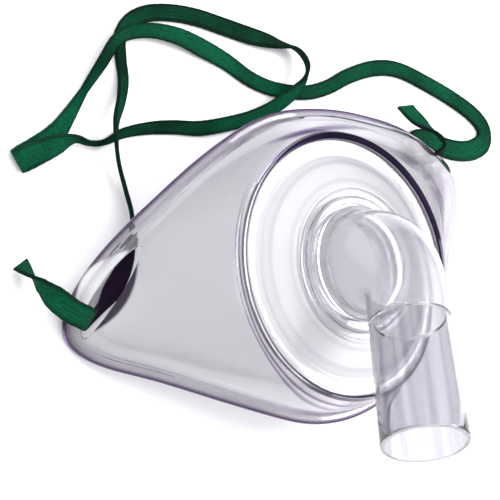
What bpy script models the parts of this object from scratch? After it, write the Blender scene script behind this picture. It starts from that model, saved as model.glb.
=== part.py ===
"""Tracheostomy mask with a swivel elbow and an elastic neck strap.

Metres, +Z up. The mask lies rim down: Z is the axis of its round front, z = 0 is the table under
the ears, +X is one ear and -Y is the side that the outlet tube hangs to.
"""

import math

import bmesh
import bpy
from mathutils import Matrix, Vector

MM = 0.001
GAP = 0.3 * MM

# Front of the mask
FRONT_Z = 28.7 * MM             # height of the front ring above the table
FRONT_RADIUS = 34.6 * MM
SHELL_THICKNESS = 1.2 * MM
PORT_HOLE_RADIUS = 16.3 * MM

# Rim, curved to lie round a neck
RIM_CENTRE_Z = FRONT_Z - 11.8 * MM
RIM_CURVE_RADIUS = 184.0 * MM
LIP_WIDTH = 2.2 * MM
RIM_POINTS = 72

# Strap slots
SLOT_CENTRE = Vector((64.3, 16.6, 12.2)) * MM
SLOT_ALONG = Vector((-0.60, 0.64, 0.48))
SLOT_OUT = Vector((0.70, 0.20, 0.68))
SLOT_LENGTH = 26.0 * MM
SLOT_WIDTH = 6.2 * MM

# Swivel elbow
CORNER = Vector((0.0, 0.0, FRONT_Z + 19.5 * MM))   # where the tube's axis meets the swivel axis
TUBE_SWING = math.radians(34.0)                    # from -Y towards -X
TUBE_RISE = math.radians(17.4)                     # above the plane of the front
BEND_RADIUS = 17.0 * MM
HUB_START = 13.5 * MM           # outer radius where the bend begins
HUB_END = 10.4 * MM             # outer radius where the tube meets the hub
HUB_BORE = 9.2 * MM             # bore radius there
HUB_LENGTH = 19.2 * MM          # distances along the tube's axis start at CORNER
TUBE_END = 52.4 * MM
TUBE_OUTER_RADIUS = 11.0 * MM   # 22 mm outside, the standard size
TUBE_BORE_RADIUS = 9.8 * MM

# Strap
STRAP_WIDTH = 6.5 * MM
STRAP_THICKNESS = 1.0 * MM
STRAP_STEP = 5.6                # mm, the longest run between two sections

ROUND_SIDES = 40

TUBE_DIRECTION = Vector((
    -math.sin(TUBE_SWING) * math.cos(TUBE_RISE),
    -math.cos(TUBE_SWING) * math.cos(TUBE_RISE),
    math.sin(TUBE_RISE),
))


def clear_scene():
    for thing in list(bpy.data.objects):
        bpy.data.objects.remove(thing, do_unlink=True)


def new_collection(name):
    found = bpy.data.collections.get(name) or bpy.data.collections.new(name)
    if found.name not in bpy.context.scene.collection.children:
        bpy.context.scene.collection.children.link(found)
    return found


def material(name, colour, roughness, transmission=0.0):
    made = bpy.data.materials.new(name)
    made.use_nodes = True
    shader = made.node_tree.nodes["Principled BSDF"]
    shader.inputs["Base Color"].default_value = (*colour, 1.0)
    shader.inputs["Roughness"].default_value = roughness
    shader.inputs["Metallic"].default_value = 0.0
    shader.inputs["Transmission Weight"].default_value = transmission
    made.diffuse_color = (*colour, 1.0)
    return made


def mesh_object(name, bm, collection, surface=None):
    bmesh.ops.recalc_face_normals(bm, faces=bm.faces)
    mesh = bpy.data.meshes.new(name)
    bm.to_mesh(mesh)
    bm.free()
    made = bpy.data.objects.new(name, mesh)
    collection.objects.link(made)
    if surface is not None:
        mesh.materials.append(surface)
    mesh.shade_smooth()
    return made


def as_cutter(thing):
    thing.hide_render = True
    thing.display_type = "WIRE"


def cut(target, cutter):
    made = target.modifiers.new(cutter.name, "BOOLEAN")
    made.operation = "DIFFERENCE"
    made.solver = "EXACT"
    made.object = cutter


def catmull_rom(a, b, c, d, t):
    """A point between b and c on the smooth curve through four points."""
    return 0.5 * (2 * b + (c - a) * t + (2 * a - 5 * b + 4 * c - d) * t ** 2
                  + (3 * b - a - 3 * c + d) * t ** 3)


def evenly_spaced(points, count, closed):
    """count points at equal steps along the straight runs between points."""
    runs = points + points[:1] if closed else points
    along = [0.0]
    for a, b in zip(runs, runs[1:]):
        along.append(along[-1] + (b - a).length)
    steps = count if closed else count - 1
    spaced, i = [], 0
    for k in range(count):
        want = along[-1] * k / steps
        while i < len(runs) - 2 and along[i + 1] < want:
            i += 1
        span = along[i + 1] - along[i]
        spaced.append(runs[i].lerp(runs[i + 1], (want - along[i]) / span))
    return spaced


def smooth_closed(points, per_run=12):
    n = len(points)
    return [
        catmull_rom(points[i - 1], points[i], points[(i + 1) % n], points[(i + 2) % n], k / per_run)
        for i in range(n) for k in range(per_run)
    ]


def loft(bm, rings, close_ends=False, join_last=False):
    """Joins rings of equally many points into a skin."""
    rows = [[bm.verts.new(p) for p in ring] for ring in rings]
    n = len(rows[0])
    pairs = list(zip(rows, rows[1:]))
    if join_last:
        pairs.append((rows[-1], rows[0]))
    for low, high in pairs:
        for i in range(n):
            j = (i + 1) % n
            bm.faces.new((low[i], low[j], high[j], high[i]))
    if close_ends:
        bm.faces.new(list(reversed(rows[0])))
        bm.faces.new(rows[-1])


def circle(centre, axis, radius, sides=ROUND_SIDES):
    """Points round a centre, starting at the side that faces the world's +X."""
    axis = axis.normalized()
    second = axis.cross(Vector((1.0, 0.0, 0.0))).normalized()
    first = second.cross(axis)
    return [
        centre + radius * (math.cos(a) * first + math.sin(a) * second)
        for a in (2 * math.pi * k / sides for k in range(sides))
    ]


# ---- mask shell ----------------------------------------------------------------------------

RIM_HALF = [(0, 44.5), (21, 41), (41, 34), (58.5, 26), (69.5, 17.5), (74, 9), (68.5, 0), (56.5, -9),
            (36, -25), (18.5, -36.5), (0, -40)]

# How the wall climbs from the lip to the front: share of the way in, share of the way up
WALL = [(0.0, 0.0), (0.02, 0.13), (0.055, 0.25), (0.11, 0.35), (0.20, 0.46), (0.33, 0.59),
        (0.50, 0.73), (0.74, 0.88), (1.0, 1.0)]

# The turned front inside the ring: radius, height above the front, in mm
FRONT = [(33.3, -0.9), (30.0, -0.9), (28.6, 0.2), (24.6, 1.9), (20.6, 3.6), (19.4, 2.7),
         (16.3, 2.7)]


def rim_height(x):
    """The rim follows a cylinder that stands for the neck, so the ears reach lowest."""
    return RIM_CENTRE_Z - (RIM_CURVE_RADIUS - math.sqrt(RIM_CURVE_RADIUS ** 2 - x ** 2))


def rim_outline():
    right = [Vector((x, y, 0.0)) * MM for x, y in RIM_HALF]
    left = [Vector((-p.x, p.y, 0.0)) for p in right[-2:0:-1]]
    ring = evenly_spaced(smooth_closed(right + left), RIM_POINTS, True)
    for p in ring:
        p.z = rim_height(p.x)
    return ring


def inward(ring, i):
    """The horizontal direction from rim point i to the inside of the outline."""
    along = ring[(i + 1) % len(ring)] - ring[i - 1]
    side = Vector((-along.y, along.x, 0.0)).normalized()
    return side if side.dot(-ring[i]) > 0 else -side


def build_shell(parts, cutters, surface):
    outer = rim_outline()
    base = [p + LIP_WIDTH * inward(outer, i) for i, p in enumerate(outer)]
    ring = [
        Vector((p.x, p.y, 0.0)).normalized() * FRONT_RADIUS + Vector((0.0, 0.0, FRONT_Z))
        for p in outer
    ]
    rings = [outer]
    for across, up in WALL:
        rings.append([
            Vector((
                b.x + (g.x - b.x) * across,
                b.y + (g.y - b.y) * across,
                b.z + (g.z - b.z) * up,
            ))
            for b, g in zip(base, ring)
        ])
    for radius, height in FRONT:
        rings.append([
            Vector((p.x, p.y, 0.0)).normalized() * radius * MM
            + Vector((0.0, 0.0, FRONT_Z + height * MM))
            for p in outer
        ])
    bm = bmesh.new()
    loft(bm, rings)
    shell = mesh_object("mask_shell", bm, parts, surface)
    if sum(f.normal.z for f in shell.data.polygons) < 0:
        shell.data.flip_normals()
    wall = shell.modifiers.new("wall", "SOLIDIFY")
    wall.thickness = SHELL_THICKNESS
    wall.offset = -1.0
    wall.use_even_offset = True
    for side in (1, -1):
        cut(shell, slot_cutter(side, cutters))
    return shell


def slot_frame(side):
    """The slot's centre, its length, its width and its outward direction, on one side."""
    centre, along, out = (
        Vector((v.x * side, v.y, v.z)) for v in (SLOT_CENTRE, SLOT_ALONG, SLOT_OUT)
    )
    along.normalize()
    out = (out - along * out.dot(along)).normalized()
    return centre, along, out.cross(along), out


def slot_cutter(side, cutters):
    """A lens-shaped plug, pushed through the shoulder of the ear."""
    centre, along, across, out = slot_frame(side)
    steps = 10
    lens = []
    for k in range(2 * steps):
        a = math.pi * k / steps
        lens.append((0.5 * SLOT_LENGTH * math.cos(a), 0.5 * SLOT_WIDTH * math.sin(a)))
    reach = 9.0 * MM
    bm = bmesh.new()
    loft(bm, [
        [centre + out * lift + along * u + across * v for u, v in lens] for lift in (-reach, reach)
    ], close_ends=True)
    name = "slot_cutter_right" if side > 0 else "slot_cutter_left"
    cutter = mesh_object(name, bm, cutters)
    as_cutter(cutter)
    return cutter


# ---- port ring -----------------------------------------------------------------------------

# Closed outline, from the top of the outer side down and back up the bore: radius, height
# above the front, in mm
PORT_RING = [(17.4, 4.1), (18.2, 3.7), (18.2, 3.0), (16.0, 3.0), (16.0, 1.2), (17.8, 1.2),
             (17.8, 0.3), (17.2, -0.2), (14.4, -0.2), (14.4, 4.1)]


def turned(name, outline, collection, surface):
    """A body of revolution about its own Z."""
    bm = bmesh.new()
    ring = [bm.verts.new((r, 0.0, z)) for r, z in outline]
    for a, b in zip(ring, ring[1:] + ring[:1]):
        bm.edges.new((a, b))
    mesh = bpy.data.meshes.new(name)
    bm.to_mesh(mesh)
    bm.free()
    mesh.materials.append(surface)
    made = bpy.data.objects.new(name, mesh)
    collection.objects.link(made)
    turn = made.modifiers.new("turn", "SCREW")
    turn.axis = "Z"
    turn.angle = 2 * math.pi
    turn.steps = ROUND_SIDES
    turn.render_steps = ROUND_SIDES
    turn.use_merge_vertices = True
    turn.merge_threshold = 0.00001
    turn.use_smooth_shade = True
    return made


def build_port_ring(parts, surface):
    outline = [(r * MM, FRONT_Z + z * MM) for r, z in PORT_RING]
    return turned("port_ring", outline, parts, surface)


# ---- elbow ---------------------------------------------------------------------------------

# Outer side of the upright neck, from under the port ring up: radius, height above the front, mm
NECK = [(13.6, -2.5), (14.9, -1.4), (14.9, -0.5), (14.1, -0.5), (14.1, 4.4), (15.2, 4.4),
        (15.2, 5.6), (14.0, 6.6)]
NECK_BORE = 12.7 * MM


def bend_path(steps):
    """Centres, directions and turned share of the bend between the neck and the tube."""
    up = Vector((0.0, 0.0, 1.0))
    angle = up.angle(TUBE_DIRECTION)
    reach = BEND_RADIUS * math.tan(angle / 2)
    level = Vector((TUBE_DIRECTION.x, TUBE_DIRECTION.y, 0.0)).normalized()
    middle = CORNER - up * reach + level * BEND_RADIUS
    path = []
    for k in range(steps + 1):
        a = angle * k / steps
        centre = middle + BEND_RADIUS * (-math.cos(a) * level + math.sin(a) * up)
        path.append((centre, math.sin(a) * level + math.cos(a) * up, k / steps))
    return path


def joint_ring(radius, shift):
    """A ring of points on the joint between hub and tube."""
    return circle(CORNER + TUBE_DIRECTION * (HUB_LENGTH + shift), TUBE_DIRECTION, radius)


def build_hub(parts, surface):
    up = Vector((0.0, 0.0, 1.0))
    steps = 8
    outside = [
        circle(Vector((0.0, 0.0, FRONT_Z + z * MM)), up, r * MM) for r, z in NECK
    ]
    inside = [
        circle(Vector((0.0, 0.0, FRONT_Z + NECK[0][1] * MM)), up, NECK_BORE)
    ]
    for centre, direction, share in bend_path(steps):
        eased = share * share * (3 - 2 * share)
        outer = HUB_START + (HUB_END - HUB_START) * eased
        outside.append(circle(centre, direction, outer))
        inner = NECK_BORE + (HUB_BORE - NECK_BORE) * eased
        inside.append(circle(centre, direction, inner))
    outside.append(joint_ring(HUB_END, 0.0))
    inside.append(joint_ring(HUB_BORE, 0.0))
    bm = bmesh.new()
    loft(bm, outside + inside[::-1], join_last=True)
    hub = mesh_object("elbow_hub", bm, parts, surface)
    pivot = Vector((0.0, 0.0, FRONT_Z))
    hub.data.transform(Matrix.Translation(-pivot))
    hub.location = pivot
    return hub


def build_tube(parts, surface, hub):
    end = CORNER + TUBE_DIRECTION * TUBE_END
    bm = bmesh.new()
    loft(bm, [
        joint_ring(HUB_BORE, GAP),
        joint_ring(HUB_END, GAP),
        circle(end, TUBE_DIRECTION, TUBE_OUTER_RADIUS),
        circle(end, TUBE_DIRECTION, TUBE_BORE_RADIUS),
    ], join_last=True)
    tube = mesh_object("outlet_tube", bm, parts, surface)
    tube.data.transform(Matrix.Translation(-CORNER))
    tube.parent = hub
    tube.location = CORNER - hub.location
    return tube


# ---- strap ---------------------------------------------------------------------------------

# Middle of the ribbon from the free end at the right ear to the one at the left ear, in mm,
# then how it lies: 0 flat, 1 leaning on one edge, 2 with its width along the slot
STRAP = [
    (63.1, 32.8, 5.2, 0), (62.6, 29.4, 7.8, 0.1), (63.4, 25.3, 10.4, 0.9), (64.6, 21.9, 12.8, 1.8),
    (64.9, 18.6, 13.6, 2), (63.0, 16.6, 10.4, 2), (61.2, 16.6, 6.0, 2), (61.8, 18.6, 1.8, 0.8),
    (66.0, 21.9, 0.6, 0), (72.2, 21.0, 0.6, 0), (77.8, 17.0, 0.6, 0), (83.6, 14.2, 0.6, 0),
    (89.6, 12.8, 0.6, 0), (95.2, 13.6, 0.6, 0), (97.4, 17.6, 0.6, 0), (95.0, 22.8, 0.6, 0),
    (88.8, 29.2, 0.6, 0), (80.4, 36.2, 0.6, 0), (70.2, 43.4, 0.6, 0), (60.7, 46.4, 0.6, 0),
    (49.7, 46.8, 0.6, 0), (40.5, 45.8, 0.6, 0), (32.4, 46.2, 0.6, 0), (25.3, 48.2, 0.6, 0),
    (18.5, 51.2, 0.6, 0), (12.6, 55.4, 0.6, 0), (6.1, 62.2, 0.6, 0), (-0.9, 67.6, 1.2, 0),
    (-8.0, 72.1, 2.2, 0), (-15.6, 75.4, 2.2, 0), (-22.7, 76.5, 2.2, 0), (-28.6, 75.4, 2.6, 0),
    (-35.2, 71.0, 2.6, 0), (-42.1, 65.8, 0.8, 0), (-49.1, 61.0, 0.6, 0), (-54.8, 57.6, 0.6, 0),
    (-61.0, 55.8, 0.6, 0), (-66.6, 54.6, 0.7, 0), (-69.2, 54.0, 2.1, 0), (-67.0, 54.2, 3.6, 0),
    (-61.6, 54.6, 3.9, 0.2), (-56.4, 54.8, 4.2, 0.7), (-51.4, 54.6, 3.6, 1), (-47.0, 52.6, 2.2, 0.4),
    (-41.4, 51.6, 0.6, 0), (-34.6, 52.2, 0.6, 0), (-26.3, 51.3, 0.6, 0), (-18.2, 49.4, 0.6, 0),
    (-10.2, 46.9, 0.6, 0), (-1.3, 45.6, 0.6, 0), (8.2, 44.9, 1.6, 0), (16.2, 45.6, 2.8, 0),
    (22.9, 47.4, 4.2, 0.5), (28.4, 50.0, 5.2, 1), (31.8, 54.0, 4.6, 1), (30.6, 59.0, 3.4, 0.8),
    (25.2, 62.6, 1.2, 0.2), (17.7, 66.6, 0.6, 0), (10.0, 71.0, 0.6, 0), (2.4, 75.2, 0.6, 0),
    (-5.4, 78.4, 0.6, 0), (-13.7, 80.2, 0.6, 0), (-20.6, 79.4, 0.6, 0), (-25.6, 75.8, 0.6, 0),
    (-27.4, 70.6, 0.6, 0), (-29.6, 65.4, 1.6, 0.2), (-33.6, 60.6, 3.2, 0.6),
    (-38.4, 55.8, 4.6, 0.9), (-40.8, 50.6, 4.8, 1), (-41.6, 45.0, 3.8, 1), (-41.8, 38.6, 3.1, 1),
    (-42.6, 32.0, 3.2, 1), (-45.0, 26.8, 3.6, 0.6), (-48.8, 22.4, 4.2, 0.2), (-53.0, 18.8, 4.6, 0.1),
    (-57.4, 15.6, 4.2, 0.4), (-61.6, 13.0, 3.6, 1.4), (-65.0, 11.8, 4.4, 2), (-67.6, 11.5, 6.4, 2),
    (-69.4, 11.7, 8.4, 2), (-71.4, 12.9, 9.9, 2), (-74.0, 15.4, 9.6, 2), (-76.0, 19.6, 7.8, 1.7),
    (-77.9, 25.0, 5.6, 0.6), (-79.6, 30.4, 3.6, 0),
]
STRAP_LEAN = Vector((-0.55, 0.10, 0.83))


def strap_path():
    """Middle and lie of the ribbon at every section."""
    ends = [Vector(p) for p in STRAP]
    ends = [2 * ends[0] - ends[1]] + ends + [2 * ends[-1] - ends[-2]]
    path = []
    for i in range(len(STRAP) - 1):
        a, b, c, d = ends[i:i + 4]
        steps = max(2, math.ceil((c - b).to_3d().length / STRAP_STEP))
        path.extend(catmull_rom(a, b, c, d, k / steps) for k in range(steps))
    return path + [ends[-2]]


def strap_width_direction(along, lie, side, before):
    """Across the ribbon, on the side that the last section's width was on."""
    flat = Vector((along.y, -along.x, 0.0))
    flat = before if flat.length < 0.2 else flat.normalized()
    slot = Vector((SLOT_ALONG.x * side, SLOT_ALONG.y, SLOT_ALONG.z)).normalized()
    aims = []
    for aim in (flat, STRAP_LEAN, slot):
        aims.append(-aim if aim.dot(before) < 0 else aim)
    lie = min(max(lie, 0.0), 2.0)
    wanted = aims[0].lerp(aims[1], min(lie, 1.0))
    if lie > 1.2:
        wanted = wanted.lerp(aims[2], (lie - 1.2) / 0.8)
    wanted = wanted.normalized() + 0.6 * before
    return (wanted - along * wanted.dot(along)).normalized()


def build_strap(parts, surface):
    path = strap_path()
    across = Vector((0.0, -1.0, 0.0))
    sections = []
    for i, p in enumerate(path):
        before = path[max(i - 1, 0)]
        after = path[min(i + 1, len(path) - 1)]
        along = (after - before).to_3d().normalized()
        side = 1.0 if p.x > 0 else -1.0
        if i == 0:
            across = Vector((along.y, -along.x, 0.0)).normalized()
        across = strap_width_direction(along, p[3], side, across)
        up = across.cross(along)
        u = across * STRAP_WIDTH / 2
        v = up * STRAP_THICKNESS / 2
        middle = p.to_3d() * MM
        lowest = middle.z - abs(u.z) - abs(v.z)
        if lowest < 0.05 * MM:
            middle.z += 0.05 * MM - lowest
        sections.append([middle - u - v, middle + u - v, middle + u + v, middle - u + v])
    bm = bmesh.new()
    loft(bm, sections, close_ends=True)
    return mesh_object("neck_strap", bm, parts, surface)


def main():
    clear_scene()
    parts = new_collection("trach_mask")
    cutters = new_collection("cutters")
    vinyl = material("clear_vinyl", (0.80, 0.78, 0.88), 0.12, 0.8)
    clear = material("clear_rigid_plastic", (0.86, 0.86, 0.90), 0.08, 0.85)
    frosted = material("clear_port_plastic", (0.82, 0.80, 0.88), 0.15, 0.8)
    elastic = material("green_elastic", (0.012, 0.10, 0.045), 0.85)
    build_shell(parts, cutters, vinyl)
    build_port_ring(parts, frosted)
    hub = build_hub(parts, clear)
    build_tube(parts, clear, hub)
    build_strap(parts, elastic)
    bpy.context.view_layer.update()


main()
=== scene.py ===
"""Looks of the tracheostomy mask: clear vinyl shell, clear swivel elbow and green elastic strap."""

import math

import bmesh
import bpy
import numpy as np
from mathutils import Matrix, Vector


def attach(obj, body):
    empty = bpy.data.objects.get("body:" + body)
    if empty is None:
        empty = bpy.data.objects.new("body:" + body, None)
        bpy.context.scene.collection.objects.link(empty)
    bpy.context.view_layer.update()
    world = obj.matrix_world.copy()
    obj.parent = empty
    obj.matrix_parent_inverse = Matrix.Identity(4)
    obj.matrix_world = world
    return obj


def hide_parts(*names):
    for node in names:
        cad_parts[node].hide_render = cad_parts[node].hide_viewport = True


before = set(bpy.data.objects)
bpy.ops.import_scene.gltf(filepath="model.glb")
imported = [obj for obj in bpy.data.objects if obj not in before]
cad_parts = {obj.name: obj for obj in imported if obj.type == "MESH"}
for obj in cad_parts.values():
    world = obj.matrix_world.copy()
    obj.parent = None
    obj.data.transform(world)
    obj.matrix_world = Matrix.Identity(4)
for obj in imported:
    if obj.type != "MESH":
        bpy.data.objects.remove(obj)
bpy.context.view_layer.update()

MM = 0.001
FRONT_Z = 28.7                       # mm, height of the front ring
CORNER_Z = FRONT_Z + 19.5            # mm, where the tube's axis meets the swivel axis
TUBE_SWING = math.radians(34.0)
TUBE_RISE = math.radians(17.4)
TUBE_DIRECTION = Vector((
    -math.sin(TUBE_SWING) * math.cos(TUBE_RISE),
    -math.cos(TUBE_SWING) * math.cos(TUBE_RISE),
    math.sin(TUBE_RISE),
))


# ---- camera --------------------------------------------------------------------------------

def add_camera():
    right = Vector((0.7107, -0.3271, 0.6228)).normalized()
    up = Vector((0.3021, 0.9414, 0.1497))
    up = (up - right * up.dot(right)).normalized()
    back = right.cross(up)
    camera = bpy.data.objects.new("camera", bpy.data.cameras.new("camera"))
    bpy.context.scene.collection.objects.link(camera)
    camera.data.lens = 123.41
    camera.data.sensor_width = 36.0
    camera.data.clip_start = 0.01
    place = Matrix((right, up, back)).transposed().to_4x4()
    place.translation = Vector((-0.3033, 0.0493, 0.3585))
    camera.matrix_world = place
    bpy.context.scene.camera = camera


add_camera()


# ---- helpers -------------------------------------------------------------------------------

def link(name, mesh):
    made = bpy.data.objects.new(name, mesh)
    bpy.context.scene.collection.objects.link(made)
    return made


def grid_mesh(name, rows, join_rows, cap_ends=False, uv=None):
    """A skin over rows of equally many points, each row a closed ring. uv(row, column) in metres."""
    rows = [[Vector(p) for p in row] for row in rows]
    count, n = len(rows), len(rows[0])
    mesh = bpy.data.meshes.new(name)
    faces, corners = [], []
    last = count if join_rows else count - 1
    for r in range(last):
        for i in range(n):
            quad = ((r, i), (r, i + 1), (r + 1, i + 1), (r + 1, i))
            faces.append([(a % count) * n + b % n for a, b in quad])
            corners.append(quad)
    if cap_ends:
        faces.append([i for i in reversed(range(n))])
        corners.append([(0, i) for i in reversed(range(n))])
        faces.append([(count - 1) * n + i for i in range(n)])
        corners.append([(count - 1, i) for i in range(n)])
    mesh.from_pydata([p * MM for row in rows for p in row], [], faces)
    if uv is not None:
        layer = mesh.uv_layers.new(name="UVMap")
        values = [uv(*corner) for quad in corners for corner in quad]
        layer.data.foreach_set("uv", [x for pair in values for x in pair])
    bm = bmesh.new()
    bm.from_mesh(mesh)
    bmesh.ops.recalc_face_normals(bm, faces=bm.faces)
    bm.to_mesh(mesh)
    bm.free()
    mesh.shade_smooth()
    mesh.set_sharp_from_angle(angle=math.radians(30))
    return mesh


def catmull_rom(a, b, c, d, t):
    return 0.5 * (2 * b + (c - a) * t + (2 * a - 5 * b + 4 * c - d) * t ** 2
                  + (3 * b - a - 3 * c + d) * t ** 3)


def circle(centre, axis, radius, sides):
    axis = axis.normalized()
    second = axis.cross(Vector((1.0, 0.0, 0.0))).normalized()
    first = second.cross(axis)
    return [
        centre + radius * (math.cos(a) * first + math.sin(a) * second)
        for a in (2 * math.pi * k / sides for k in range(sides))
    ]


def rounded(outline, radius, steps=3):
    """A closed 2-D outline with its corners rounded off."""
    made = []
    n = len(outline)
    for i, point in enumerate(outline):
        here = Vector(point)
        a, b = Vector(outline[i - 1]) - here, Vector(outline[(i + 1) % n]) - here
        cut = min(radius, a.length * 0.45, b.length * 0.45)
        start, end = here + a.normalized() * cut, here + b.normalized() * cut
        for k in range(steps + 1):
            t = k / steps
            made.append(start * (1 - t) ** 2 + here * 2 * t * (1 - t) + end * t ** 2)
    return made


# ---- ear slots, in mm -----------------------------------------------------------------------

SLOT_ALONG = Vector((-0.60, 0.64, 0.48))
SLOT_CENTRE = Vector((64.3, 16.6, 12.2))
SLOT_OUT = Vector((0.70, 0.20, 0.68))
SLOT_LENGTH = 26.0
SLOT_WIDTH = 6.2


def slot_frame(side):
    centre, along, out = (
        Vector((v.x * side, v.y, v.z)) for v in (SLOT_CENTRE, SLOT_ALONG, SLOT_OUT)
    )
    along.normalize()
    out = (out - along * out.dot(along)).normalized()
    return centre, along, out.cross(along), out


# ---- strap ---------------------------------------------------------------------------------

STRAP_WIDTH = 6.5
STRAP_THICKNESS = 1.1
STRAP_STEP = 0.8                     # mm between sections
STRAP_LEAN = Vector((-0.55, 0.10, 0.83))

# Middle of the ribbon in mm, then how it lies: 0 flat, 1 leaning on one edge, 2 along the slot
STRAP = [
    (63.1, 32.8, 5.2, 0), (62.6, 29.4, 7.8, 0.1), (63.4, 25.3, 10.4, 0.9), (64.6, 21.9, 12.8, 1.8),
    (64.9, 18.6, 13.6, 2), (63.0, 16.6, 10.4, 2), (61.2, 16.6, 6.0, 2), (61.8, 18.6, 1.8, 0.8),
    (66.0, 21.9, 0.6, 0), (72.2, 21.0, 0.6, 0), (77.8, 17.0, 0.6, 0), (83.6, 14.2, 0.6, 0),
    (89.6, 12.8, 0.6, 0), (95.2, 13.6, 0.6, 0), (97.4, 17.6, 0.6, 0), (95.0, 22.8, 0.6, 0),
    (88.8, 29.2, 0.6, 0), (80.4, 36.2, 0.6, 0), (70.2, 43.4, 0.6, 0), (60.7, 46.4, 0.6, 0),
    (49.7, 46.8, 0.6, 0), (40.5, 45.8, 0.6, 0), (32.4, 46.2, 0.6, 0), (25.3, 48.2, 0.6, 0),
    (18.5, 51.2, 0.6, 0), (12.6, 55.4, 0.6, 0), (6.1, 62.2, 0.6, 0), (-0.9, 67.6, 1.2, 0),
    (-8.0, 72.1, 2.2, 0), (-15.6, 75.4, 2.2, 0), (-22.7, 76.5, 2.2, 0), (-28.6, 75.4, 2.6, 0),
    (-35.2, 71.0, 2.6, 0), (-42.1, 65.8, 0.8, 0), (-49.1, 61.0, 0.6, 0), (-54.8, 57.6, 0.6, 0),
    (-61.0, 55.8, 0.6, 0), (-66.6, 54.6, 0.7, 0), (-69.2, 54.0, 2.1, 0), (-67.0, 54.2, 3.6, 0),
    (-61.6, 54.6, 3.9, 0.2), (-56.4, 54.8, 4.2, 0.7), (-51.4, 54.6, 3.6, 1), (-47.0, 52.6, 2.2, 0.4),
    (-41.4, 51.6, 0.6, 0), (-34.6, 52.2, 0.6, 0), (-26.3, 51.3, 0.6, 0), (-18.2, 49.4, 0.6, 0),
    (-10.2, 46.9, 0.6, 0), (-1.3, 45.6, 0.6, 0), (8.2, 44.9, 1.6, 0), (16.2, 45.6, 2.8, 0),
    (22.9, 47.4, 4.2, 0.5), (28.4, 50.0, 5.2, 1), (31.8, 54.0, 4.6, 1), (30.6, 59.0, 3.4, 0.8),
    (25.2, 62.6, 1.2, 0.2), (17.7, 66.6, 0.6, 0), (10.0, 71.0, 0.6, 0), (2.4, 75.2, 0.6, 0),
    (-5.4, 78.4, 0.6, 0), (-13.7, 80.2, 0.6, 0), (-20.6, 79.4, 0.6, 0), (-25.6, 75.8, 0.6, 0),
    (-27.4, 70.6, 0.6, 0), (-29.6, 65.4, 1.6, 0.2), (-33.6, 60.6, 3.2, 0.6),
    (-38.4, 55.8, 4.6, 0.9), (-40.8, 50.6, 4.8, 1), (-41.6, 45.0, 3.8, 1), (-41.8, 38.6, 3.1, 1),
    (-42.6, 32.0, 3.2, 1), (-45.0, 26.8, 3.6, 0.6), (-48.8, 22.4, 4.2, 0.2), (-53.0, 18.8, 4.6, 0.1),
    (-57.4, 15.6, 4.2, 0.4), (-61.6, 13.0, 3.6, 1.4), (-65.0, 11.8, 4.4, 2), (-67.6, 11.5, 6.4, 2),
    (-69.4, 11.7, 8.4, 2), (-71.4, 12.9, 9.9, 2), (-74.0, 15.4, 9.6, 2), (-76.0, 19.6, 7.8, 1.7),
    (-77.9, 25.0, 5.6, 0.6), (-79.6, 30.4, 3.6, 0),
]

# Listed: place in STRAP, share of the full width that is drawn, and how much painted shade it gets
STRAP_LOOK = [
    (0, 1.0, 0.1), (2, 0.95, 0.3), (4, 0.9, 0.6), (7, 0.9, 0.5), (9, 1.0, 0.3), (13, 0.98, 0.2),
    (14, 0.9, 0.5), (16, 0.82, 0.3), (19, 0.74, 0.35), (21, 0.66, 0.3), (23, 0.64, 0.4), (25, 0.74, 0.2),
    (27, 0.88, 0.0), (29, 0.66, 0.2), (30.5, 0.55, 0.5), (32, 0.5, 0.7), (33, 0.34, 0.3), (34, 0.62, 0.0),
    (35, 0.86, 0.0), (37, 1.0, 0.0), (39, 1.0, 0.1), (41, 0.8, 0.2), (42, 0.38, 0.5), (43, 0.22, 0.6),
    (44, 0.24, 0.6), (45, 0.42, 0.7), (46.5, 0.58, 0.8), (48, 0.64, 0.6), (50, 0.62, 0.2), (52, 0.6, 0.2),
    (53, 0.5, 0.5), (54, 0.5, 0.7), (55.5, 0.7, 0.8), (57, 0.84, 0.85), (59, 0.8, 0.7), (61, 0.72, 0.6),
    (63, 0.62, 0.5), (64, 0.5, 0.8), (66, 0.5, 0.6), (67.5, 0.6, 0.6), (69, 0.5, 0.7), (72, 0.7, 0.6),
    (75, 0.9, 0.3), (84, 1.0, 0.2), (88, 1.0, 0.3),
]


def strap_path():
    ends = [Vector(p) for p in STRAP]
    ends = [2 * ends[0] - ends[1]] + ends + [2 * ends[-1] - ends[-2]]
    fine = []
    for i in range(len(STRAP) - 1):
        fine.extend(catmull_rom(*ends[i:i + 4], k / 24) for k in range(24))
    fine.append(ends[-2])
    along = np.cumsum([0.0] + [(b - a).to_3d().length for a, b in zip(fine, fine[1:])])
    count = int(along[-1] / STRAP_STEP) + 1
    wanted = np.linspace(0.0, along[-1], count)
    table = np.array([p[:] for p in fine])
    place = np.interp(wanted, along, np.arange(len(fine)) / 24)
    at, width, painted_shade = np.array(STRAP_LOOK).T
    look = list(zip(np.interp(place, at, width), np.interp(place, at, painted_shade)))
    path = [Vector([float(np.interp(w, along, table[:, c])) for c in range(4)]) for w in wanted]
    return path, look, along[-1]


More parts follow.
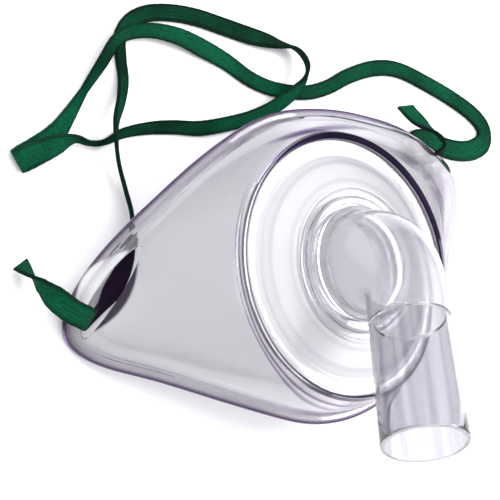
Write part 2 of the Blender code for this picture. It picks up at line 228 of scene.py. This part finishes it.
def strap_frames(path):
    """Middle, along, across and up at every section."""
    across = None
    frames = []
    for i, p in enumerate(path):
        before, after = path[max(i - 1, 0)], path[min(i + 1, len(path) - 1)]
        along = (after - before).to_3d().normalized()
        side = 1.0 if p.x > 0 else -1.0
        flat = Vector((along.y, -along.x, 0.0))
        if across is None:
            across = flat.normalized()
        flat = across if flat.length < 0.2 else flat.normalized()
        slot = Vector((SLOT_ALONG.x * side, SLOT_ALONG.y, SLOT_ALONG.z)).normalized()
        aims = [-aim if aim.dot(across) < 0 else aim for aim in (flat, STRAP_LEAN, slot)]
        lie = min(max(p[3], 0.0), 2.0)
        wanted = aims[0].lerp(aims[1], min(lie, 1.0))
        if lie > 1.2:
            wanted = wanted.lerp(aims[2], (lie - 1.2) / 0.8)
        wanted = wanted.normalized() + 4.0 * across
        across = (wanted - along * wanted.dot(along)).normalized()
        frames.append([p.to_3d(), along, across, across.cross(along)])
    return frames


def strap_section():
    """Outline of the ribbon across its width: three soft ribs on each face, thicker edges."""
    half = STRAP_WIDTH / 2
    steps = 26
    top = []
    for k in range(steps + 1):
        u = -1.0 + 2.0 * k / steps
        edge = min(1.0, (1.0 - abs(u)) / 0.07)
        rib = 0.5 + 0.5 * math.cos(u * math.pi * 7.0)
        height = STRAP_THICKNESS / 2 * (0.72 + 0.28 * rib) * (0.25 + 0.75 * math.sqrt(edge))
        top.append((u * half, height, u))
    bottom = [(x, -z, u) for x, z, u in reversed(top)]
    return top + bottom


def behind_ear(point):
    """1 where the ribbon runs behind an ear. The material paints a shadow there, darker."""
    centre, along, across, out = slot_frame(1 if point.x > 0 else -1)
    rel = point - centre
    panel = across if across.z > 0 else -across
    if rel.length > 26 or abs(rel.dot(along)) > 17 or rel.dot(panel) < -7:
        return 0.0
    return min(max((-rel.dot(out) - 0.2) / 1.2, 0.0), 1.0)


def build_strap():
    path, look, length = strap_path()
    frames = strap_frames(path)
    section = strap_section()
    rows = []
    for i, (middle, along, across, up) in enumerate(frames):
        wide = look[i][0] * (1.0 + 0.012 * math.sin(i * 2.1))
        low = min((middle + across * x * wide + up * z).z for x, z, u in section)
        lift = Vector((0.0, 0.0, max(0.0, 0.08 - low)))
        rows.append([middle + lift + across * x * wide + up * z for x, z, u in section])
    n = len(section)
    width = [u * 0.5 * STRAP_WIDTH * MM for x, z, u in section]
    step = length / (len(rows) - 1) * MM
    mesh = grid_mesh("strap", rows, False, True, lambda r, c: (width[c % n], r * step))
    ear_shadow = mesh.attributes.new("ear_shadow", "FLOAT", "POINT")
    ear_shadow.data.foreach_set("value", [behind_ear(v.co / MM) for v in mesh.vertices])
    # Painted shade along the ribbon, from STRAP_LOOK
    painted_shade = mesh.attributes.new("painted_shade", "FLOAT", "POINT")
    painted_shade.data.foreach_set("value", [float(dark) for wide, dark in look for _ in range(n)])
    strap = link("neck_strap_ribbon", mesh)
    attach(strap, "mask")
    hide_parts("neck_strap")
    return strap


strap = build_strap()


# ---- materials -----------------------------------------------------------------------------

def material(name):
    made = bpy.data.materials.new(name)
    made.use_nodes = True
    nodes = made.node_tree.nodes
    return made, nodes, made.node_tree.links, nodes["Principled BSDF"]


def clear_plastic(name, colour, roughness, ior, transmission=1.0, ripple=0.0, scale=120.0):
    made, nodes, links, shader = material(name)
    shader.inputs["Base Color"].default_value = (*colour, 1.0)
    shader.inputs["Roughness"].default_value = roughness
    shader.inputs["IOR"].default_value = ior
    shader.inputs["Transmission Weight"].default_value = transmission
    if ripple:
        place = nodes.new("ShaderNodeTexCoord")
        noise = nodes.new("ShaderNodeTexNoise")
        noise.inputs["Scale"].default_value = scale
        noise.inputs["Detail"].default_value = 2.0
        links.new(place.outputs["Object"], noise.inputs["Vector"])
        bump = nodes.new("ShaderNodeBump")
        bump.inputs["Strength"].default_value = ripple
        bump.inputs["Distance"].default_value = 0.001
        links.new(noise.outputs["Fac"], bump.inputs["Height"])
        links.new(bump.outputs["Normal"], shader.inputs["Normal"])
    return made


class Sums:
    """Short hand for chains of math nodes."""

    def __init__(self, tree):
        self.nodes, self.links = tree.nodes, tree.links

    def plug(self, socket, value):
        if hasattr(value, "is_output"):
            self.links.new(value, socket)
        else:
            socket.default_value = value

    def do(self, kind, *values, clamp=False):
        node = self.nodes.new("ShaderNodeMath")
        node.operation = kind
        node.use_clamp = clamp
        for socket, value in zip(node.inputs, values):
            self.plug(socket, value)
        return node.outputs["Value"]

    def dot(self, vector, direction):
        node = self.nodes.new("ShaderNodeVectorMath")
        node.operation = "DOT_PRODUCT"
        self.plug(node.inputs[0], vector)
        node.inputs[1].default_value = direction
        return node.outputs["Value"]

    def above(self, value, low, high):
        """0 below low, 1 above high."""
        return self.do("MULTIPLY", self.do("SUBTRACT", value, low), 1.0 / (high - low), clamp=True)

    def mix(self, share, first, second, kind="MIX"):
        node = self.nodes.new("ShaderNodeMix")
        node.data_type = "RGBA"
        node.blend_type = kind
        self.plug(node.inputs["Factor"], share)
        for at, value in ((6, first), (7, second)):
            self.plug(node.inputs[at], value if hasattr(value, "is_output") else (*value, 1.0))
        return node.outputs[2]


def soft_vinyl():
    """Clear vinyl. The arc is a painted dark reflection, the crescents and creases are painted shade and
    the flaps are painted highlights, all fixed to the object.
    """
    made = clear_plastic("soft_clear_vinyl", (0.95, 0.94, 0.96), 0.07, 1.46, 0.93, 0.08, 60.0)
    sums = Sums(made.node_tree)
    nodes, links = made.node_tree.nodes, made.node_tree.links
    shader = nodes["Principled BSDF"]
    place = nodes.new("ShaderNodeTexCoord").outputs["Object"]
    split = nodes.new("ShaderNodeSeparateXYZ")
    links.new(place, split.inputs["Vector"])
    x, y = split.outputs["X"], split.outputs["Y"]
    radius = sums.do("SQRT", sums.do("ADD", sums.do("MULTIPLY", x, x), sums.do("MULTIPLY", y, y)))
    # Vinyl tint by radius: clear at the front, grey over the panel; the faint grey rings near the front
    # are painted shade of the moulded steps
    tint_and_step_shade = colour_ramp(nodes, [
        (0.0, (1.0, 1.0, 1.0)), (0.43, (1.0, 1.0, 1.0)),
        (0.45, (0.84, 0.84, 0.86)), (0.465, (1.0, 1.0, 1.0)),
        (0.535, (1.0, 1.0, 1.0)), (0.55, (0.80, 0.80, 0.83)), (0.57, (0.98, 0.98, 0.99)),
        (0.59, (0.88, 0.88, 0.90)), (0.61, (1.0, 1.0, 1.0)),
        (0.655, (0.99, 0.99, 1.0)), (0.71, (0.80, 0.785, 0.81)),
        (0.78, (0.81, 0.807, 0.82)), (1.0, (0.81, 0.81, 0.82)),
    ])
    links.new(sums.do("MULTIPLY", radius, 1.0 / 0.05), tint_and_step_shade.inputs["Fac"])

    # A dark reflection painted round the front ring, wider away from the tube
    turn = sums.do("DIVIDE", sums.dot(place, (0.92, 0.39, 0.0)), radius)
    reach = sums.do("ADD", sums.do("MULTIPLY", sums.do("MAXIMUM", turn, 0.0), 0.0018), 0.0350)
    dark_reflection_arc = sums.do("MULTIPLY", sums.above(radius, 0.0340, 0.0342), sums.above(
        sums.do("SUBTRACT", reach, radius), 0.0, 0.0003))
    # A long thin painted shade on the wall above it, and a fine line of painted shade on the other side
    side = sums.do("MULTIPLY", sums.dot(place, (0.995, -0.105, 0.0)), 1000.0)
    rise = sums.do("MULTIPLY", sums.dot(place, (0.105, 0.995, 0.0)), 1000.0)
    off = sums.do("ABSOLUTE", sums.do("ADD", sums.do("SUBTRACT", rise, 36.8), sums.do(
        "MULTIPLY", sums.do("MULTIPLY", side, side), 0.005)))
    part = sums.do("DIVIDE", sums.do("SUBTRACT", side, 6.8), 23.0)
    thick = sums.do("SUBTRACT", 1.0, sums.do("MULTIPLY", part, part))
    painted_shade = sums.above(sums.do("SUBTRACT", thick, off), 0.0, 0.5)
    beside = sums.do("ABSOLUTE", sums.do("SUBTRACT", radius, 0.0366))
    painted_shade_line = sums.do("MULTIPLY", sums.above(beside, 0.00035, 0.0001), sums.above(turn, -0.2, -0.6))
    disc = sums.above(sums.do("MULTIPLY", radius, -1.0), -0.0328, -0.0320)
    # Painted shade: a greyer wall along the top, and dark creases painted beside the slot where the strap
    # pulls
    painted_top_shade = sums.do("MULTIPLY", sums.above(radius, 0.0358, 0.0372), sums.above(y, 0.024, 0.042))
    creases = nodes.new("ShaderNodeTexNoise")
    creases.inputs["Scale"].default_value = 130.0
    creases.inputs["Detail"].default_value = 3.0
    creases.inputs["Distortion"].default_value = 2.5
    links.new(place, creases.inputs["Vector"])
    near = sums.do("MULTIPLY", sums.above(x, 0.034, 0.044), sums.above(y, 0.004, 0.012))
    painted_crease_shade = sums.do("MULTIPLY", near, sums.above(creases.outputs["Fac"], 0.42, 0.58))
    # A painted dark edge reflection along the rim lip
    rim = nodes.new("ShaderNodeAttribute")
    rim.attribute_name = "rim"

    # Across each ear: along the slot, and towards the panel, in mm
    mirrored = nodes.new("ShaderNodeVectorMath")
    mirrored.operation = "ABSOLUTE"
    links.new(place, mirrored.inputs[0])
    centre, along, across, out = slot_frame(1)
    panel = across if across.z > 0 else -across
    u = sums.do("SUBTRACT", sums.dot(mirrored.outputs[0], along * 1000), centre.dot(along))
    v = sums.do("SUBTRACT", sums.dot(mirrored.outputs[0], panel * 1000), centre.dot(panel))
    part = sums.do("DIVIDE", u, SLOT_LENGTH / 2)
    lens = sums.do("MAXIMUM", sums.do("SUBTRACT", 1.0, sums.do("MULTIPLY", part, part)), 0.0)
    high = sums.above(y, 0.0, 0.002)
    # Painted shade in a dark crescent on the panel side of each slot, and a painted white highlight on
    # the flap on its other side
    slot_shade = sums.do("MULTIPLY", sums.above(v, 1.0, 1.6), sums.above(
        sums.do("SUBTRACT", sums.do("MULTIPLY", lens, 5.6), v), 0.0, 0.7))
    flap_highlight = sums.do("MULTIPLY", sums.above(sums.do("MULTIPLY", v, -1.0), 1.6, 2.2), sums.above(
        sums.do("ADD", sums.do("MULTIPLY", lens, 8.5), v), 0.0, 0.9))
    slot_shade = sums.do("MULTIPLY", slot_shade, high)
    flap_highlight = sums.do("MULTIPLY", flap_highlight, high)

    # Darker purple where the surface is seen edge-on: partly the vinyl's own tint over a long path,
    # partly painted dark edge reflections
    facing = nodes.new("ShaderNodeLayerWeight")
    facing.inputs["Blend"].default_value = 0.5
    edge = colour_ramp(nodes, [
        (0.0, (1.0, 1.0, 1.0)), (0.56, (1.0, 1.0, 1.0)),
        (0.76, (0.60, 0.54, 0.68)), (0.87, (0.02, 0.003, 0.06)),
    ])
    links.new(facing.outputs["Facing"], edge.inputs["Fac"])
    colour = sums.mix(1.0, tint_and_step_shade.outputs["Color"], edge.outputs["Color"], "MULTIPLY")
    colour = sums.mix(sums.do("MULTIPLY", painted_top_shade, 0.45), colour, (0.34, 0.33, 0.38))
    colour = sums.mix(sums.do("MULTIPLY", painted_crease_shade, 0.6), colour, (0.24, 0.23, 0.28))
    colour = sums.mix(sums.do("MULTIPLY", painted_shade, 0.9), colour, (0.09, 0.055, 0.16))
    colour = sums.mix(painted_shade_line, colour, (0.10, 0.06, 0.16))
    colour = sums.mix(dark_reflection_arc, colour, (0.012, 0.002, 0.035))
    colour = sums.mix(rim.outputs["Fac"], colour, (0.06, 0.015, 0.11))
    colour = sums.mix(slot_shade, colour, (0.02, 0.004, 0.035))
    colour = sums.mix(flap_highlight, colour, (1.0, 1.0, 1.0))
    links.new(colour, shader.inputs["Base Color"])
    # Metal-like gloss paints reflections: white on the flaps and the front disc, dark on the arc
    rough = sums.do("MAXIMUM", sums.do("MULTIPLY", flap_highlight, 0.5), sums.do("MULTIPLY", disc, 0.22))
    links.new(sums.do("ADD", rough, 0.07), shader.inputs["Roughness"])
    painted_reflection = sums.do("MAXIMUM", sums.do("MULTIPLY", flap_highlight, 0.6), sums.do("MULTIPLY", dark_reflection_arc, 0.85))
    links.new(sums.do("MAXIMUM", painted_reflection, sums.do("MULTIPLY", disc, 0.2)), shader.inputs["Metallic"])
    return made


def colour_ramp(nodes, stops):
    ramp = nodes.new("ShaderNodeValToRGB")
    for _ in range(len(stops) - 2):
        ramp.color_ramp.elements.new(0.5)
    for element, (at, colour) in zip(ramp.color_ramp.elements, stops):
        element.position = at
        element.color = (*colour, 1.0)
    return ramp


WARP_PITCH, WEFT_PITCH = 0.00052, 0.0009          # metres between threads
DARK_EDGE_FROM, DARK_EDGE_FULL = 0.0018, 0.0032     # metres from the ribbon's middle


def green_elastic():
    """Woven green elastic, with painted shade on listed stretches, dark edges and a painted shadow behind
    the ears.
    """
    made, nodes, links, shader = material("green_elastic_weave")
    sums = Sums(made.node_tree)
    place = nodes.new("ShaderNodeUVMap").outputs["UV"]
    split = nodes.new("ShaderNodeSeparateXYZ")
    links.new(place, split.inputs["Vector"])
    wide, far = split.outputs["X"], split.outputs["Y"]

    across = sums.do("SINE", sums.do("MULTIPLY", wide, 2 * math.pi / WARP_PITCH))
    along = sums.do("SINE", sums.do("MULTIPLY", far, 2 * math.pi / WEFT_PITCH))
    crossed = sums.do("MULTIPLY", sums.do("MULTIPLY", across, along), 0.4)
    weave = sums.do("ADD", sums.do("MULTIPLY", across, 0.6), crossed)
    noise = nodes.new("ShaderNodeTexNoise")
    noise.inputs["Scale"].default_value = 900.0
    noise.inputs["Detail"].default_value = 3.0
    links.new(place, noise.inputs["Vector"])
    height = sums.do("ADD", sums.do("MULTIPLY", weave, 0.5), noise.outputs["Fac"])
    ramp = colour_ramp(nodes, [(0.0, (0.0, 0.022, 0.009)), (1.0, (0.002, 0.125, 0.056))])
    links.new(height, ramp.inputs["Fac"])

    ear_shadow, painted_shade = (nodes.new("ShaderNodeAttribute") for _ in range(2))
    ear_shadow.attribute_name = "ear_shadow"
    painted_shade.attribute_name = "painted_shade"
    cloudy = nodes.new("ShaderNodeTexNoise")
    cloudy.inputs["Scale"].default_value = 90.0
    links.new(place, cloudy.inputs["Vector"])
    clouds = sums.do("MULTIPLY", sums.do("SUBTRACT", cloudy.outputs["Fac"], 0.5), 1.2)
    # Darker towards the ribbon's edges
    dark_edges = sums.above(sums.do("ABSOLUTE", wide), DARK_EDGE_FROM, DARK_EDGE_FULL)
    uneven = sums.do("ADD", clouds, sums.do("MULTIPLY", dark_edges, 0.7))
    # Painted shade, with the random tone and the darker edges added
    dark = sums.do("ADD", painted_shade.outputs["Fac"], uneven, clamp=True)
    colour = sums.mix(dark, ramp.outputs["Color"], (0.0, 0.012, 0.005))
    # Painted shadow where the ribbon runs behind an ear
    colour = sums.mix(ear_shadow.outputs["Fac"], colour, (0.012, 0.004, 0.018))
    links.new(colour, shader.inputs["Base Color"])
    shader.inputs["Roughness"].default_value = 0.75
    shader.inputs["Specular IOR Level"].default_value = 0.08
    bump = nodes.new("ShaderNodeBump")
    bump.inputs["Strength"].default_value = 0.6
    bump.inputs["Distance"].default_value = 0.0002
    links.new(height, bump.inputs["Height"])
    links.new(bump.outputs["Normal"], shader.inputs["Normal"])
    return made


def streaked_tube():
    """Clear plastic with faint streaks along the tube."""
    made = clear_plastic("clear_tube", (0.60, 0.59, 0.635), 0.05, 1.4, 0.95)
    sums = Sums(made.node_tree)
    nodes, links = made.node_tree.nodes, made.node_tree.links
    place = nodes.new("ShaderNodeTexCoord").outputs["Object"]
    side = TUBE_DIRECTION.cross(Vector((0.0, 0.0, 1.0))).normalized()
    top = side.cross(TUBE_DIRECTION)
    axes = nodes.new("ShaderNodeCombineXYZ")
    for socket, axis, scale in zip(axes.inputs, (side, top, TUBE_DIRECTION), (330.0, 330.0, 9.0)):
        links.new(sums.do("MULTIPLY", sums.dot(place, axis), scale), socket)
    noise = nodes.new("ShaderNodeTexNoise")
    noise.inputs["Scale"].default_value = 1.0
    noise.inputs["Detail"].default_value = 3.0
    links.new(axes.outputs["Vector"], noise.inputs["Vector"])
    streaks = colour_ramp(nodes, [(0.36, (0.54, 0.53, 0.575)), (0.62, (0.77, 0.765, 0.79))])
    links.new(noise.outputs["Fac"], streaks.inputs["Fac"])
    links.new(streaks.outputs["Color"], nodes["Principled BSDF"].inputs["Base Color"])
    return made


VINYL = soft_vinyl()
RIGID = clear_plastic("clear_rigid", (0.84, 0.835, 0.86), 0.12, 1.4, 0.95)
TUBE = streaked_tube()
EDGE = clear_plastic("clear_rigid_edge", (0.88, 0.87, 0.90), 0.35, 1.4, 0.6)
PORT = clear_plastic("clear_port", (0.86, 0.85, 0.88), 0.05, 1.4, 0.95)
BOND = clear_plastic("bonded_joint", (1.0, 1.0, 1.0), 0.0, 1.0)
STRAP_CLOTH = green_elastic()
strap.data.materials.append(STRAP_CLOTH)


# ---- mask shell ----------------------------------------------------------------------------

RIM_HALF = [(0, 44.5), (21, 41), (41, 34), (58.5, 26), (69.5, 17.5), (74, 9), (68.5, 0), (56.5, -9),
            (36, -25), (18.5, -36.5), (0, -40)]
RIM_CENTRE_Z = FRONT_Z - 11.8
RIM_CURVE_RADIUS = 184.0
RIM_POINTS = 360
FRONT_RADIUS = 34.6
LIP_WIDTH = 2.2
THICKNESS = 1.2
WALL = [(0.0, 0.0), (0.02, 0.13), (0.055, 0.25), (0.11, 0.35), (0.20, 0.46), (0.33, 0.59),
        (0.50, 0.73), (0.74, 0.88), (1.0, 1.0)]
# Turned front: radius, height above the front, outside then inside
FRONT_OUT = [(33.9, -0.75), (33.3, -0.95), (31.6, -0.95), (31.0, -0.55), (30.3, -0.3), (29.6, -0.5),
             (29.0, -0.3), (28.2, 0.35), (25.0, 1.75), (24.4, 1.85), (20.9, 3.5), (20.3, 3.55),
             (19.7, 2.95), (19.2, 2.7), (16.5, 2.7)]
FRONT_IN = [(16.5, 1.5), (19.2, 1.5), (20.6, 2.2), (24.6, 0.55), (28.6, -1.3), (30.0, -2.0),
            (32.0, -2.1), (33.0, -1.95)]


def rim_height(x):
    return RIM_CENTRE_Z - (RIM_CURVE_RADIUS - math.sqrt(RIM_CURVE_RADIUS ** 2 - x ** 2))


def rim_outline():
    right = [Vector(p) for p in RIM_HALF]
    left = [Vector((-p.x, p.y)) for p in right[-2:0:-1]]
    ring = right + left
    n = len(ring)
    fine = [
        catmull_rom(ring[i - 1], ring[i], ring[(i + 1) % n], ring[(i + 2) % n], k / 40)
        for i in range(n) for k in range(40)
    ]
    fine.append(fine[0])
    along = np.cumsum([0.0] + [(b - a).length for a, b in zip(fine, fine[1:])])
    table = np.array([p[:] for p in fine])
    wanted = np.arange(RIM_POINTS) / RIM_POINTS * along[-1]
    made = np.stack([np.interp(wanted, along, table[:, c]) for c in range(2)], axis=1)
    for _ in range(30):
        made = 0.5 * made + 0.25 * (np.roll(made, 1, axis=0) + np.roll(made, -1, axis=0))
    return made


def smooth_wall(per_run=5):
    points = [Vector(p) for p in WALL]
    ends = [2 * points[0] - points[1]] + points + [2 * points[-1] - points[-2]]
    made = []
    for i in range(len(points) - 1):
        made.extend(catmull_rom(*ends[i:i + 4], k / per_run) for k in range(per_run))
    return made + [points[-1]]


def build_shell():
    rim = rim_outline()
    n = len(rim)
    tangent = np.roll(rim, -1, axis=0) - np.roll(rim, 1, axis=0)
    normal = np.stack([-tangent[:, 1], tangent[:, 0]], axis=1)
    normal /= np.linalg.norm(normal, axis=1)[:, None]
    flip = np.sign(-(normal * rim).sum(axis=1))
    normal *= flip[:, None]
    base = rim + LIP_WIDTH * normal
    angle = np.arctan2(rim[:, 1], rim[:, 0])
    heights = np.array([rim_height(x) for x in rim[:, 0]])
    outer = []
    for a, b in smooth_wall():
        ring = np.stack([np.cos(angle), np.sin(angle)], axis=1) * FRONT_RADIUS
        xy = base + (ring - base) * a
        z = heights + (FRONT_Z - heights) * b
        outer.append(np.column_stack([xy, z]))
    outer = np.array(outer)
    du = np.roll(outer, -1, axis=1) - np.roll(outer, 1, axis=1)
    dv = np.gradient(outer, axis=0)
    normals = np.cross(du, dv)
    normals /= np.linalg.norm(normals, axis=2)[:, :, None]
    if normals[-3, 0, 2] < 0:
        normals = -normals
    inner = outer - THICKNESS * normals
    lip_top = np.column_stack([rim, heights])
    inward = np.column_stack([normal, np.zeros(n)])
    up = np.array([0.0, 0.0, 1.0])
    rows = [lip_top + 0.30 * inward, lip_top + 0.08 * inward - 0.10 * up, lip_top - 0.35 * up]
    rows += [lip_top - 0.85 * up, lip_top + 0.10 * inward - 1.10 * up]
    rows.append(lip_top + 0.35 * inward - THICKNESS * up)
    rows.reverse()
    rows.append(lip_top + 1.2 * inward)
    rows.append(lip_top + 1.9 * inward)
    rows += [row for row in outer[1:]]
    for r, z in FRONT_OUT + FRONT_IN:
        rows.append(np.column_stack([np.cos(angle) * r, np.sin(angle) * r, np.full(n, FRONT_Z + z)]))
    rows += [row for row in inner[2:-3][::-1]]
    rows.append(lip_top + (LIP_WIDTH + 0.9) * inward - (THICKNESS - 0.1) * up)
    mesh = grid_mesh("shell", [[tuple(p) for p in row] for row in rows], True)
    shell = link("mask_shell_vinyl", mesh)
    mesh.materials.append(VINYL)
    for side in (1, -1):
        cutter = slot_cutter(side)
        cut = shell.modifiers.new("slot", "BOOLEAN")
        cut.operation = "DIFFERENCE"
        cut.solver = "EXACT"
        cut.object = cutter
    bpy.context.view_layer.update()
    cut_shell = shell.evaluated_get(bpy.context.evaluated_depsgraph_get())
    whole = bpy.data.meshes.new_from_object(cut_shell)
    for cut in list(shell.modifiers):
        cutter = cut.object
        shell.modifiers.remove(cut)
        bpy.data.objects.remove(cutter)
    shell.data = whole
    points = np.empty(len(whole.vertices) * 3)
    whole.vertices.foreach_get("co", points)
    points = points.reshape(-1, 3)[:, :2] / MM
    gap = np.linalg.norm(points[:, None] - rim[None], axis=2).min(axis=1)
    # How near each point is to the rim, for the painted dark edge reflection along the lip
    edge = whole.attributes.new("rim", "FLOAT", "POINT")
    edge.data.foreach_set("value", np.clip((0.80 - gap) / 0.1, 0.0, 1.0))
    whole.shade_smooth()
    whole.set_sharp_from_angle(angle=math.radians(30))
    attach(shell, "mask")
    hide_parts("mask_shell")
    return shell


def slot_cutter(side):
    centre, along, across, out = slot_frame(side)
    steps = 32
    lens = []
    for k in range(2 * steps):
        a = math.pi * k / steps
        lens.append((0.5 * SLOT_LENGTH * math.cos(a), 0.5 * SLOT_WIDTH * math.sin(a)))
    rows = [
        [tuple(centre + out * lift + along * u + across * v) for u, v in lens] for lift in (-9.0, 9.0)
    ]
    return link("slot_cutter", grid_mesh("slot_cutter", rows, False, True))


build_shell()


# ---- port ring and elbow -------------------------------------------------------------------

def turned_rows(outline, sides=144):
    return [
        [(r * math.cos(a), r * math.sin(a), z) for a in (2 * math.pi * k / sides for k in range(sides))]
        for r, z in outline
    ]


def build_port_ring():
    outline = [(17.4, 4.1), (18.2, 3.7), (18.2, 3.0), (16.0, 3.0), (16.0, 1.2), (17.8, 1.2),
               (17.8, 0.3), (17.2, -0.2), (14.4, -0.2), (14.4, 4.1)]
    rows = turned_rows([(r, FRONT_Z + z) for r, z in rounded(outline, 0.25)])
    piece = link("port_ring_bushing", grid_mesh("port_ring", rows, True))
    piece.data.materials.append(PORT)
    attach(piece, "mask")
    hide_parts("port_ring")


BEND_RADIUS = 17.0
HUB_START, HUB_END, NECK_BORE, HUB_BORE = 13.5, 10.4, 12.7, 9.2
HUB_LENGTH = 19.2                    # mm from the corner to the joint, along the tube
TUBE_RIM_FROM = 52.1                 # mm from the corner, where the tube's end face begins


def bend_path(steps):
    up = Vector((0.0, 0.0, 1.0))
    corner = Vector((0.0, 0.0, CORNER_Z))
    angle = up.angle(TUBE_DIRECTION)
    reach = BEND_RADIUS * math.tan(angle / 2)
    level = Vector((TUBE_DIRECTION.x, TUBE_DIRECTION.y, 0.0)).normalized()
    middle = corner - up * reach + level * BEND_RADIUS
    for k in range(steps + 1):
        a = angle * k / steps
        centre = middle + BEND_RADIUS * (-math.cos(a) * level + math.sin(a) * up)
        share = k / steps
        yield centre, math.sin(a) * level + math.cos(a) * up, share * share * (3 - 2 * share)


def joint_ring(radius, shift, sides):
    """A ring of the joint between hub and tube."""
    centre = Vector((0.0, 0.0, CORNER_Z)) + TUBE_DIRECTION * (HUB_LENGTH + shift)
    return circle(centre, TUBE_DIRECTION, radius, sides)


def bond_faces(piece, low, high):
    """Light goes straight through the faces that meet in the joint, as through one moulding."""
    corner = Vector((0.0, 0.0, CORNER_Z))
    piece.data.materials.append(BOND)
    piece.data.materials.append(EDGE)
    for face in piece.data.polygons:
        p = face.center / MM - corner
        along = p.dot(TUBE_DIRECTION)
        out = (p - TUBE_DIRECTION * along).length
        if low < out < high and abs(along - HUB_LENGTH) < 0.4:
            face.material_index = 1
        elif along > TUBE_RIM_FROM:
            face.material_index = 2


def build_hub():
    up = Vector((0.0, 0.0, 1.0))
    sides = 128
    neck = [(12.6, -2.4), (13.5, -2.5), (14.3, -2.0), (14.85, -1.5), (14.9, -1.2), (14.9, -0.7),
            (14.75, -0.5), (14.15, -0.5), (14.1, -0.3), (14.1, 4.2), (14.2, 4.4), (15.0, 4.4),
            (15.2, 4.6), (15.2, 5.3), (15.0, 5.6), (14.5, 6.0), (13.9, 6.6), (13.6, 7.3)]
    outside = [circle(Vector((0, 0, FRONT_Z + z)), up, r, sides) for r, z in neck]
    inside = [circle(Vector((0, 0, FRONT_Z + z)), up, NECK_BORE, sides) for z in (-2.2, 0.5, 3.5)]
    for centre, direction, eased in bend_path(28):
        outside.append(circle(centre, direction, HUB_START + (HUB_END - HUB_START) * eased, sides))
        inside.append(circle(centre, direction, NECK_BORE + (HUB_BORE - NECK_BORE) * eased, sides))
    for r, s in ((HUB_END, 0.06), (HUB_END - 0.06, 0.0), (HUB_BORE + 0.3, 0.0), (HUB_BORE, 0.3)):
        outside.append(joint_ring(r, -s, sides))
    rows = outside + inside[::-1]
    piece = link("elbow_hub_clear", grid_mesh("elbow_hub", rows, True))
    piece.data.materials.append(RIGID)
    bond_faces(piece, HUB_BORE + 0.1, HUB_END - 0.1)
    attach(piece, "elbow")
    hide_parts("elbow_hub")


def build_tube():
    sides = 128
    corner = Vector((0.0, 0.0, CORNER_Z))
    rows = []
    for r, s in ((HUB_BORE, 0.3), (HUB_BORE + 0.3, 0.0), (HUB_END - 0.06, 0.0), (HUB_END, 0.06)):
        rows.append(joint_ring(r, s + 0.3, sides))
    for r, s in ((10.62, 36.0), (10.8, 44.0), (10.98, 51.4), (11.0, 51.9), (10.9, 52.2), (10.65, 52.4),
                 (10.15, 52.4), (9.9, 52.25), (9.8, 51.9), (9.66, 44.0), (9.5, 36.0)):
        rows.append(circle(corner + TUBE_DIRECTION * s, TUBE_DIRECTION, r, sides))
    piece = link("outlet_tube_clear", grid_mesh("outlet_tube", rows, True))
    piece.data.materials.append(TUBE)
    bond_faces(piece, HUB_BORE + 0.1, HUB_END - 0.1)
    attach(piece, "elbow")
    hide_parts("outlet_tube")


build_port_ring()
build_hub()
build_tube()


# ---- floor and light -----------------------------------------------------------------------

def add_floor():
    mesh = bpy.data.meshes.new("floor")
    size = 3.0
    corners = [(-size, -size, 0), (size, -size, 0), (size, size, 0), (-size, size, 0)]
    mesh.from_pydata(corners, [], [(0, 1, 2, 3)])
    floor = link("floor", mesh)
    made, nodes, links, shader = material("pale_floor")
    shader.inputs["Base Color"].default_value = (0.93, 0.93, 0.94, 1.0)
    shader.inputs["Roughness"].default_value = 0.9
    mesh.materials.append(made)


def add_light(name, place, target, size, power, mirrored):
    """A soft box. Only a mirrored one shows in reflections and through the plastic."""
    data = bpy.data.lights.new(name, "AREA")
    data.shape = "RECTANGLE"
    data.size, data.size_y = size
    data.energy = power
    lamp = bpy.data.objects.new(name, data)
    bpy.context.scene.collection.objects.link(lamp)
    lamp.location = place
    lamp.rotation_euler = (Vector(target) - Vector(place)).to_track_quat("-Z", "Y").to_euler()
    lamp.visible_glossy = mirrored
    lamp.visible_transmission = mirrored


def add_world():
    """A bright tent over a dark horizon. What the camera sees of it past the floor is pale."""
    world = bpy.data.worlds.new("studio")
    bpy.context.scene.world = world
    world.use_nodes = True
    nodes, links = world.node_tree.nodes, world.node_tree.links
    tent = nodes["Background"]
    place = nodes.new("ShaderNodeTexCoord")
    split = nodes.new("ShaderNodeSeparateXYZ")
    links.new(place.outputs["Generated"], split.inputs["Vector"])
    ramp = colour_ramp(nodes, [
        (0.0, (0.20, 0.18, 0.25)), (0.14, (0.24, 0.22, 0.29)), (0.30, (0.75, 0.74, 0.78)),
        (0.55, (0.92, 0.92, 0.95)), (1.0, (1.0, 1.0, 1.0)),
    ])
    links.new(split.outputs["Z"], ramp.inputs["Fac"])
    links.new(ramp.outputs["Color"], tent.inputs["Color"])
    tent.inputs["Strength"].default_value = 1.5
    plain = nodes.new("ShaderNodeBackground")
    plain.inputs["Color"].default_value = (0.95, 0.95, 0.96, 1.0)
    path = nodes.new("ShaderNodeLightPath")
    mix = nodes.new("ShaderNodeMixShader")
    links.new(path.outputs["Is Camera Ray"], mix.inputs["Fac"])
    links.new(tent.outputs["Background"], mix.inputs[1])
    links.new(plain.outputs["Background"], mix.inputs[2])
    links.new(mix.outputs["Shader"], nodes["World Output"].inputs["Surface"])


add_floor()
add_world()
bpy.context.scene.view_settings.view_transform = "Standard"
add_light("key", (-0.35, 0.45, 0.8), (0, 0, 0.02), (0.45, 0.45), 2.5, False)
add_light("mirror", (0.60, -0.08, 0.75), (0, 0, 0.02), (0.40, 0.30), 4.0, True)
